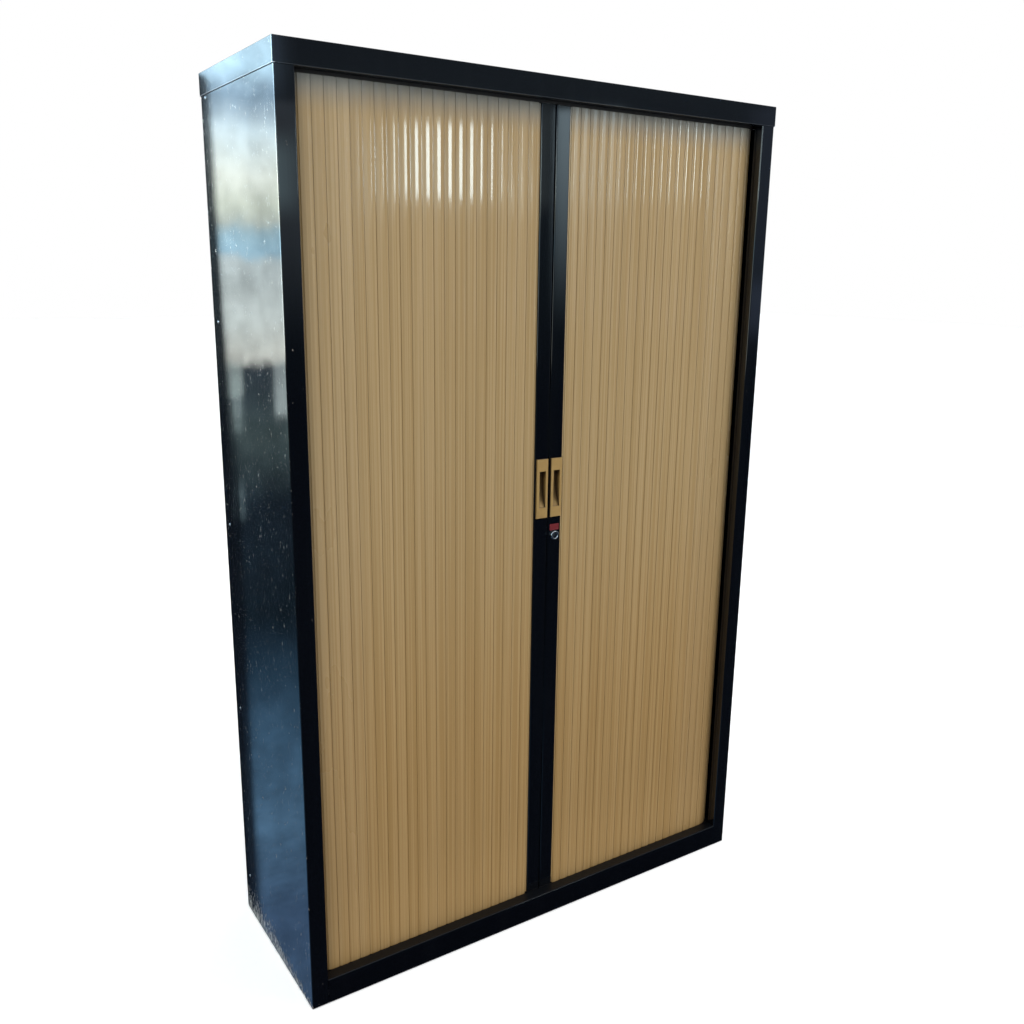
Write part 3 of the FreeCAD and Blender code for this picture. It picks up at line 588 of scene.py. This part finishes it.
def slatSection(s):
    # closed outline of one slat in (along, outwards), its first pivot at the origin
    first = s["grooveBefore"]
    last = s["pitch"] - s["grooveAfter"]
    middle = (first + last) / 2
    half = (last - first) / 2 - s["edgeRound"]
    along, drop = crownDrop(s, half)
    edge = s["crown"] - drop[0]
    under = edge - s["skin"]
    inwards = s["edgeRound"] * s["edgeIn"]
    upper = edge + s["edgeRound"] * s["edgeUp"]
    lower = edge - s["edgeRound"] * s["edgeDown"]
    neck = s["bead"] / 2
    farSide = s["web"] + s["skin"]
    socket = (s["pitch"], 0.0)
    lip = arcPoints(socket, s["hook"], s["lipAngle"], s["lipAngle"], 1)[0]
    parts = [
        np.stack([middle + along * half, s["crown"] - drop], axis=1),
        [(last - inwards, upper), (last, lower)],
        [(last, lip[1] + s["lipRise"]), lip],
        arcPoints(socket, s["hollow"], *s["hollowArc"]),
        arcPoints(socket, s["hook"], *s["hookArc"]),
        [(s["pitch"] - s["hook"], under), (farSide, under), (farSide, -neck)],
        arcPoints((0.0, 0.0), s["bead"], *s["beadArc"]),
        [(s["web"], neck), (s["web"], under), (first, under)],
        [(first, lower), (first + inwards, upper)],
    ]
    return np.concatenate([np.asarray(part, dtype=float) for part in parts])


def tiltedSection(section, tilt, s):
    # the slat's face turns a little about its middle, and its bead and socket stay
    middle = (s["pitch"] / 2, s["crown"])
    turn = np.array([[math.cos(tilt), math.sin(tilt)], [-math.sin(tilt), math.cos(tilt)]])
    face = section[:, 1:] > s["crown"] - s["skin"] * s["tiltDepth"]
    return np.where(face, (section - middle) @ turn + middle, section)


def curtainPath(travelled, start, corner, radius):
    # points of the left curtain's path: straight along the front, then round the corner into the side
    straight = start[0] - corner[0]
    turned = np.clip((travelled - straight) / radius, 0.0, math.pi / 2)
    x = np.where(travelled < straight, start[0] - travelled, corner[0] - radius * np.sin(turned))
    y = np.where(travelled < straight, start[1], corner[1] - radius * np.cos(turned))
    return np.stack([x, y + np.maximum(travelled - straight - radius * math.pi / 2, 0.0)], axis=-1)


def curtainPivots(s):
    # neighbouring pivots are one pitch apart in a straight line, so each next one is searched along the path
    radius = s["cornerRadius"]
    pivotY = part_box("left_slats")[0][1] + s["crown"]
    start = (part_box("left_stile")[0][0] - s["stileGap"], pivotY)
    corner = (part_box("bottom_track")[0][0] + s["trackOverhang"] + radius, pivotY + radius)
    pivots = [np.array(start)]
    reached = 0.0
    for _ in range(s["slats"]):
        ahead = reached + np.linspace(*s["searchSpan"], s["searchSteps"]) * s["pitch"]
        spans = np.linalg.norm(curtainPath(ahead, start, corner, radius) - pivots[-1], axis=1)
        reached = ahead[np.argmin(np.abs(spans - s["pitch"]))]
        pivots.append(curtainPath(np.array(reached), start, corner, radius))
    return np.array(pivots)


def slatMesh(name, first, last, side, s):
    # slats numbered first to last of one curtain; side is -1 for the left one and 1 for the right one
    pivots = curtainPivots(s)
    section = slatSection(s)
    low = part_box("bottom_track")[1][2] + s["endGap"]
    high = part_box("top_track")[0][2] - s["endGap"]
    draw = np.random.default_rng(randomSeed + (side > 0))
    tilts = np.radians(draw.uniform(-s["tilt"], s["tilt"], s["slats"]))
    shades = draw.uniform(0.0, 1.0, s["slats"])
    points, faces, shade = [], [], []
    count = len(section)
    ring = np.arange(count)
    for i in range(first, last):
        way = pivots[i + 1] - pivots[i]
        angle = math.atan2(way[1], way[0])
        along, outwards = tiltedSection(section, tilts[i], s).T
        # outwards is to the right of the way that the curtain runs, seen from above
        x = pivots[i][0] + along * math.cos(angle) - outwards * math.sin(angle)
        y = pivots[i][1] + along * math.sin(angle) + outwards * math.cos(angle)
        for z in (low, high):
            points.append(np.stack([-side * x, y, np.full(count, z)], axis=1))
        base = 2 * count * (i - first)
        slat = band(base, base + count, count)
        slat += [(base + ring[::-1]).tolist(), (base + count + ring).tolist()]
        faces += slat if side < 0 else flipped(slat)
        shade += [shades[i]] * (2 * count)
    piece = meshFrom(name, np.concatenate(points).tolist(), faces, finishes["slat_plastic"])
    piece.data.attributes.new("slatShade", "FLOAT", "POINT").data.foreach_set("value", shade)
    return piece


def buildCurtain(leaf, side, s):
    word = leaf.split("_")[0]
    lead = slatMesh(word + "_lead_slat", 0, 1, side, s)
    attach(lead, leaf)
    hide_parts(word + "_slats")
    rest = slatMesh(word + "_following_slats", 1, s["slats"], side, s)
    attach(rest, leaf)
    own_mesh(rest)


buildCurtain("left_leaf", -1, curtainSettings)
buildCurtain("right_leaf", 1, curtainSettings)
print("curtains built")


# bare red plate under the right-hand pull

plateSettings = {
    "width": 0.0255,
    "height": 0.0150,
    "thickness": 0.0007,
    "corner": 0.0016,
    "cornerPoints": 5,
    "liftAboveLock": 0.0125,
    # rings of its rounded edge, with inset and lift as shares of the thickness
    "edge": ((0.0, 0.0), (0.0, 0.7), (0.2, 1.0)),
    "shades": ((0.12, 0.005, 0.009), (0.19, 0.012, 0.016)),
    "clouds": {"scale": 300.0, "detail": 5.0},
    "cloudRoughness": 0.3,
    "roughness": 0.5,
    "rubbed": (0.06, 0.008, 0.010),
    "rubs": {"scale": 700.0, "detail": 4.0, "stretch": (0.35, 1.0, 1.0)},
    "rubRange": (0.50, 0.66),
    "rubAmount": 0.35,
    "rubBump": (0.3, 0.00005),
}


def plateMaterial(s):
    material, tree, shader, coords = newMaterial("red_plate")
    clouds = noise(tree, coords, **s["clouds"])
    rubs = smoothStep(tree, noise(tree, coords, **s["rubs"]), *s["rubRange"])
    colour = mixColour(tree, clouds, *s["shades"])
    colour = mixColour(tree, times(tree, rubs, s["rubAmount"]), colour, s["rubbed"])
    rough = weighed(tree, clouds, s["cloudRoughness"], s["roughness"])
    join(tree, shader, colour, rough, bump(tree, rubs, *s["rubBump"]))
    return material


def roundedOutline(width, height, radius, steps):
    corners = [(1, 1, 0), (-1, 1, 90), (-1, -1, 180), (1, -1, 270)]
    parts = [
        arcPoints((sx * (width / 2 - radius), sy * (height / 2 - radius)), radius, a, a + 90, steps)
        for sx, sy, a in corners
    ]
    return np.concatenate(parts)


def plateMesh(s):
    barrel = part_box("lock_barrel")
    x = (barrel[0][0] + barrel[1][0]) / 2
    z = (barrel[0][2] + barrel[1][2]) / 2 + s["liftAboveLock"] + s["height"] / 2
    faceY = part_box("right_stile")[0][1]
    rings = []
    for inset, lift in s["edge"]:
        less = inset * s["thickness"] * 2
        outline = roundedOutline(s["width"] - less, s["height"] - less, s["corner"], s["cornerPoints"])
        y = np.full(len(outline), faceY - lift * s["thickness"])
        rings.append(np.stack([x + outline[:, 0], y, z + outline[:, 1]], axis=1))
    count = len(rings[0])
    ring = np.arange(count)
    faces = band(0, count, count) + band(count, 2 * count, count)
    faces += [ring[::-1].tolist(), (2 * count + ring).tolist()]
    return meshFrom("red_plate", np.concatenate(rings).tolist(), faces, plateMaterial(s))


redPlate = plateMesh(plateSettings)
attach(redPlate, "right_leaf")


# rounded lip and guide ring of the lock

lockSettings = {"lip": 0.0022, "rise": 0.0011, "arcPoints": 13, "spokes": 48}


def revolved(name, profile, centre, spokes, material):
    # closed ring of a profile in (radius, y) turned about a line along y through the centre
    turn = np.arange(spokes) * 2 * math.pi / spokes
    rings, faces = [], []
    for level, (radius, y) in enumerate(profile):
        across = centre[0] + radius * np.cos(turn)
        up = centre[1] + radius * np.sin(turn)
        rings.append(np.stack([across, np.full(spokes, y), up], axis=1))
        faces += band(level * spokes, (level + 1) % len(profile) * spokes, spokes)
    return meshFrom(name, np.concatenate(rings).tolist(), faces, material)


def lockRim(s):
    low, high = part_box("lock_barrel")
    centre = ((low[0] + high[0]) / 2, (low[2] + high[2]) / 2)
    middle = (high[0] - low[0]) / 2 - s["lip"]
    arc = np.radians(np.linspace(0, 180, s["arcPoints"]))
    profile = [(middle - s["lip"] * math.cos(a), low[1] - s["rise"] * math.sin(a)) for a in arc]
    return revolved("lock_rim", profile, centre, s["spokes"], finishes["chrome"])


rim = lockRim(lockSettings)
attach(rim, "right_leaf")


# screws along the rear edges of the sides

screwSettings = {
    "radius": 0.0036,
    "dome": 0.0014,
    "spokes": 16,
    # rings of the head from its rim to the recess, with radius and lift as shares
    "head": ((1.0, 0.0), (0.96, 0.35), (0.78, 0.72), (0.50, 0.93), (0.34, 0.97), (0.22, 0.45)),
    "count": 5,
    "rearInset": 0.0325,
    "firstHeight": 0.104,
    "lastHeight": 1.928,
}


def screwMesh(name, side, s):
    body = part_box("left_side")
    faceX = body[0][0]
    y = body[1][1] - s["rearInset"]
    spokes = s["spokes"]
    levels = len(s["head"])
    turn = np.arange(spokes) * 2 * math.pi / spokes
    ring = np.arange(spokes)
    points, faces = [], []
    for number, height in enumerate(np.linspace(s["firstHeight"], s["lastHeight"], s["count"])):
        for spread, lift in s["head"]:
            ringX = np.full(spokes, faceX - lift * s["dome"])
            ringY = y + spread * s["radius"] * np.cos(turn)
            ringZ = height + spread * s["radius"] * np.sin(turn)
            points.append(np.stack([-side * ringX, ringY, ringZ], axis=1))
        base = number * levels * spokes
        top = base + (levels - 1) * spokes
        head = []
        for low in range(base, top, spokes):
            # wound the other way round, from the same first point
            head += [[a, d, c, b] for a, b, c, d in band(low, low + spokes, spokes)]
        head += [(base + ring).tolist(), (top + ring[::-1]).tolist()]
        faces += head if side < 0 else flipped(head)
    return meshFrom(name, np.concatenate(points).tolist(), faces, finishes["dark_zinc"])


for word, side in (("left", -1), ("right", 1)):
    screws = screwMesh(word + "_side_screws", side, screwSettings)
    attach(screws, "case")
print("plate and screws built")


# floor

floorSettings = {"half": 30.0, "cells": 8, "colour": (0.90, 0.90, 0.90), "roughness": 0.9, "glow": 0.50}


def floorMaterial(s):
    material, tree, shader, coords = newMaterial("pale_floor")
    shader.inputs["Base Color"].default_value = (*s["colour"], 1.0)
    shader.inputs["Roughness"].default_value = s["roughness"]
    shader.inputs["Emission Color"].default_value = (1.0, 1.0, 1.0, 1.0)
    # the floor glows for the camera alone, and not in the dark under the object
    camera = wire(tree, "ShaderNodeLightPath").outputs["Is Camera Ray"]
    x, y, _ = separate(tree, coords)
    halfWidth, halfDepth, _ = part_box("right_side")[1]
    besides = maths(tree, "GREATER_THAN", maths(tree, "ABSOLUTE", x), halfWidth)
    beyond = maths(tree, "GREATER_THAN", maths(tree, "ABSOLUTE", y), halfDepth)
    glow = times(tree, maths(tree, "MAXIMUM", besides, beyond), s["glow"])
    tree.links.new(times(tree, camera, glow), shader.inputs["Emission Strength"])
    return material


def buildFloor(s):
    side = s["cells"] + 1
    steps = np.linspace(-s["half"], s["half"], side)
    gx, gy = np.meshgrid(steps, steps)
    points = np.stack([gx.ravel(), gy.ravel(), np.zeros(gx.size)], axis=1)
    cell = (np.arange(side - 1)[:, None] * side + np.arange(side - 1)[None, :]).ravel()
    faces = np.stack([cell, cell + 1, cell + side + 1, cell + side], axis=1).tolist()
    floor = meshFrom("pale_floor", points.tolist(), faces, floorMaterial(s))
    floor.visible_glossy = False


# world: white to the camera, plain grey to matt surfaces and a mirrored scene to glossy ones
# sides are azimuths from straight behind the object, positive to the right, and levels are elevations,
# both in degrees

worldSettings = {
    "plain": 0.62,
    # what glossy surfaces see to the left and behind, by elevation: ground, wall, yard, horizon, sky
    "leftStops": [
        (-45.0, (0.13, 0.24, 0.42)), (-35.5, (0.13, 0.25, 0.46)), (-31.0, (0.20, 0.42, 0.69)),
        (-26.0, (0.14, 0.32, 0.54)), (-23.0, (0.06, 0.14, 0.235)), (-19.5, (0.02, 0.04, 0.06)),
        (-13.0, (0.035, 0.06, 0.09)), (-9.3, (0.19, 0.28, 0.29)), (-6.8, (0.10, 0.15, 0.18)),
        (-5.36, (0.11, 0.15, 0.19)), (-5.04, (2.3, 2.4, 2.2)), (-3.0, (2.0, 2.25, 2.2)),
        (0.4, (2.0, 2.35, 2.4)), (0.8, (1.3, 2.1, 2.6)), (2.0, (1.5, 2.3, 2.7)),
        (2.4, (2.2, 2.5, 2.3)), (3.3, (2.6, 2.9, 2.5)), (4.7, (3.2, 3.5, 3.2)),
        (7.3, (2.6, 3.3, 3.6)), (7.8, (1.9, 2.5, 2.9)), (8.3, (1.4, 1.95, 2.4)),
        (8.8, (1.0, 1.5, 1.95)), (9.3, (1.5, 2.2, 2.8)), (10.2, (2.4, 3.6, 4.4)),
        (14.0, (3.0, 4.3, 5.1)), (40.0, (1.6, 2.1, 2.5)),
    ],
    # what they see in front
    "frontStops": [
        (-45.0, (0.012, 0.016, 0.026)), (-8.0, (0.012, 0.018, 0.028)), (0.0, (0.055, 0.08, 0.095)),
        (8.0, (0.11, 0.14, 0.17)), (10.0, (0.13, 0.17, 0.20)), (14.0, (0.10, 0.12, 0.16)),
        (25.0, (0.50, 0.56, 0.64)), (60.0, (0.9, 0.92, 0.95)),
    ],
    # bright openings in front
    "windows": [
        {"sides": (148.3, 153.2), "levels": (3.9, 7.7), "soft": (0.25, 0.2), "light": (13.0, 15.5, 16.0)},
        {"sides": (146.2, 147.1), "levels": (3.0, 5.0), "soft": (0.3, 0.3), "light": (3.0, 3.2, 3.0)},
        {"sides": (153.8, 154.6), "levels": (2.7, 4.4), "soft": (0.3, 0.3), "light": (3.0, 3.2, 3.0)},
        {"sides": (158.9, 190.0), "levels": (3.2, 6.6), "soft": (1.2, 1.0), "light": (0.70, 1.05, 1.15)},
        {"sides": (159.3, 190.0), "levels": (9.0, 20.0), "soft": (0.7, 1.5), "light": (0.35, 0.50, 0.70)},
        {"sides": (144.8, 146.6), "levels": (3.5, 8.6), "soft": (0.4, 0.8), "light": (0.25, 0.30, 0.30)},
        {"sides": (110.0, 134.0), "levels": (-3.2, -0.5), "soft": (0.8, 0.8), "light": (0.14, 0.18, 0.28)},
        {"sides": (46.0, 100.0), "levels": (-20.0, 22.0), "soft": (25.0, 20.0), "light": (0.75, 0.85, 0.95)},
    ],
    # and on the left
    "leftWindows": [
        {"sides": (-21.0, -19.6), "levels": (-8.3, -5.2), "soft": (0.15, 0.4), "light": (1.2, 1.4, 1.4)},
        {"sides": (-17.75, -17.10), "levels": (-7.0, -5.2), "soft": (0.12, 0.3), "light": (0.9, 1.1, 1.05)},
        {"sides": (-17.56, -17.30), "levels": (-8.8, -7.0), "soft": (0.10, 0.6), "light": (0.8, 1.0, 1.0)},
        {"sides": (-17.50, -17.36), "levels": (-13.8, -12.0), "soft": (0.08, 0.5), "light": (0.6, 0.85, 0.9)},
    ],
    # walls in front, brighter towards the ceiling
    "wallEnds": (-60.0, 8.55),
    "walls": [
        {"sides": (141.0, 144.55), "soft": (0.25, 0.25), "rise": (-4.0, 9.5), "light": (1.9, 2.5, 2.8)},
        {"sides": (156.0, 190.0), "soft": (0.8, 0.25), "rise": (-5.0, 4.0), "light": (0.30, 0.35, 0.40)},
        {"sides": (110.0, 134.0), "soft": (0.8, 0.25), "rise": (-6.0, 1.0), "light": (0.09, 0.11, 0.17)},
    ],
    # limits of the left scene: the rear one leans back with height and lies far back for the sky
    "behind": (-17.18, -16.92),
    "leanLevels": (-12.0, 8.0),
    "lean": (0.16, -0.12),
    "skyLevels": (9.2, 10.4),
    "skyLean": -1.2,
    "leftFrom": (-150.0, -120.0),
    # only edges see its brightest part
    "glare": {"sides": (-60.0, -21.5), "levels": (-4.5, 30.0), "soft": (0.8, 1.0)},
    "glareGain": 7.0,
    # clouds and a wiped look, which shift its layers by about a degree and shade them
    "clouds": {"scale": 9.0, "detail": 4.0, "stretch": (5.0, 5.0, 2.0)},
    "cloudShift": 1.0,
    "hair": {"scale": 60.0, "detail": 4.0, "stretch": (6.0, 6.0, 0.5), "roughness": 0.7},
    "hairShift": 2.0,
    "hairShade": (0.8, 1.2),
    "patches": {"scale": 7.0, "detail": 5.0, "stretch": (6.0, 6.0, 2.5), "roughness": 0.65},
    "patchShade": (0.75, 1.2),
    "shadeRange": (0.3, 0.7),
}


def elevationRamp(tree, elevation, stops):
    low, high = stops[0][0], stops[-1][0]
    inputs = {"Value": elevation, "From Min": low, "From Max": high}
    place = wire(tree, "ShaderNodeMapRange", inputs).outputs[0]
    peak = max(max(colour) for _, colour in stops)
    places = [((angle - low) / (high - low), tuple(c / peak for c in colour)) for angle, colour in stops]
    return scaled(tree, ramp(tree, place, places), peak)


def patch(tree, azimuth, elevation, sides, levels, soft):
    # a soft-edged window between two azimuths and two elevations
    across, up = soft
    a = smoothStep(tree, azimuth, sides[0] - across, sides[0] + across)
    b = smoothStep(tree, azimuth, sides[1] - across, sides[1] + across, 1.0, 0.0)
    c = smoothStep(tree, elevation, levels[0] - up, levels[0] + up)
    d = smoothStep(tree, elevation, levels[1] - up, levels[1] + up, 1.0, 0.0)
    return times(tree, times(tree, a, b), times(tree, c, d))


def added(tree, view, light, amount):
    return mixColour(tree, 1.0, view, scaled(tree, light, amount), "ADD")


def lit(tree, view, windows, azimuth, elevation):
    for window in windows:
        area = patch(tree, azimuth, elevation, window["sides"], window["levels"], window["soft"])
        view = added(tree, view, window["light"], area)
    return view


def centredNoise(tree, value, span):
    return times(tree, maths(tree, "SUBTRACT", value, 0.5), span)


def leftScene(tree, direction, azimuth, elevation, s):
    clouds = noise(tree, direction, **s["clouds"])
    hair = noise(tree, direction, **s["hair"])
    patches = noise(tree, direction, **s["patches"])
    shift = centredNoise(tree, clouds, s["cloudShift"])
    shifted = plus(tree, elevation, plus(tree, shift, centredNoise(tree, hair, s["hairShift"])))
    view = lit(tree, elevationRamp(tree, shifted, s["leftStops"]), s["leftWindows"], azimuth, shifted)
    view = scaled(tree, view, smoothStep(tree, patches, *s["shadeRange"], *s["patchShade"]))
    view = scaled(tree, view, smoothStep(tree, hair, *s["shadeRange"], *s["hairShade"]))
    glare = patch(tree, azimuth, elevation, **s["glare"])
    return scaled(tree, view, weighed(tree, glare, s["glareGain"], 1.0))


def frontScene(tree, azimuth, elevation, s):
    view = lit(tree, elevationRamp(tree, elevation, s["frontStops"]), s["windows"], azimuth, elevation)
    for wall in s["walls"]:
        area = patch(tree, azimuth, elevation, wall["sides"], s["wallEnds"], wall["soft"])
        view = added(tree, view, wall["light"], times(tree, area, smoothStep(tree, elevation, *wall["rise"])))
    return view


def leftward(tree, azimuth, elevation, s):
    # 1 where the left scene is seen
    lean = smoothStep(tree, elevation, *s["leanLevels"], *s["lean"])
    sky = smoothStep(tree, elevation, *s["skyLevels"], 0.0, s["skyLean"])
    leaned = plus(tree, azimuth, plus(tree, lean, sky))
    behind = smoothStep(tree, leaned, *s["behind"], 1.0, 0.0)
    return times(tree, behind, smoothStep(tree, azimuth, *s["leftFrom"]))


def buildWorld(s):
    world = bpy.data.worlds.new("studio")
    bpy.context.scene.world = world
    world.use_nodes = True
    tree = world.node_tree
    direction = wire(tree, "ShaderNodeTexCoord").outputs["Generated"]
    dx, dy, dz = separate(tree, direction)
    azimuth = maths(tree, "DEGREES", maths(tree, "ARCTAN2", dx, dy))
    elevation = maths(tree, "DEGREES", maths(tree, "ARCSINE", dz))
    leftView = leftScene(tree, direction, azimuth, elevation, s)
    # the front is alike to both sides, so that no seam shows straight ahead
    frontView = frontScene(tree, maths(tree, "ABSOLUTE", azimuth), elevation, s)
    seen = mixColour(tree, leftward(tree, azimuth, elevation, s), frontView, leftView)
    path = wire(tree, "ShaderNodeLightPath")
    colour = mixColour(tree, path.outputs["Is Glossy Ray"], (s["plain"],) * 3, seen)
    colour = mixColour(tree, path.outputs["Is Camera Ray"], colour, (1.0, 1.0, 1.0))
    tree.links.new(colour, tree.nodes["Background"].inputs["Color"])


# lamps

lampSettings = {
    "key": {"place": (3.2, -3.2, 3.3), "aim": (0.0, 0.0, 1.0), "size": 1.8, "power": 95.0},
    "fill": {"place": (-3.2, -3.2, 2.4), "aim": (0.0, 0.0, 0.9), "size": 2.6, "power": 30.0},
}


def buildLamp(name, s):
    lamp = bpy.data.lights.new(name, "AREA")
    lamp.shape = "SQUARE"
    lamp.size = s["size"]
    lamp.energy = s["power"]
    holder = bpy.data.objects.new(name, lamp)
    bpy.context.scene.collection.objects.link(holder)
    holder.location = s["place"]
    way = Vector(s["aim"]) - Vector(s["place"])
    holder.rotation_euler = way.to_track_quat("-Z", "Y").to_euler()
    holder.visible_glossy = False


# camera, with its angles in radians

cameraSettings = {
    "place": (-1.27485, -1.98055, 1.58969),
    "yaw": -0.58110,
    "pitch": -0.24190,
    "roll": -0.01360,
    "lens": 34.381,
    "sensor": 36.0,
}


def buildCamera(s):
    camera = bpy.data.cameras.new("photo_camera")
    camera.lens = s["lens"]
    camera.sensor_width = s["sensor"]
    holder = bpy.data.objects.new("photo_camera", camera)
    bpy.context.scene.collection.objects.link(holder)
    # a camera that looks down is turned level, then by roll, pitch and yaw
    turn = (Matrix.Rotation(s["yaw"], 4, "Z") @ Matrix.Rotation(s["pitch"], 4, "X")
            @ Matrix.Rotation(s["roll"], 4, "Y") @ Matrix.Rotation(math.pi / 2, 4, "X"))
    holder.matrix_world = Matrix.Translation(s["place"]) @ turn
    bpy.context.scene.camera = holder


buildFloor(floorSettings)
buildWorld(worldSettings)
for lampName, lampValues in lampSettings.items():
    buildLamp(lampName, lampValues)
buildCamera(cameraSettings)
bpy.context.scene.view_settings.view_transform = "Standard"
print("stage, lamps and camera ready")
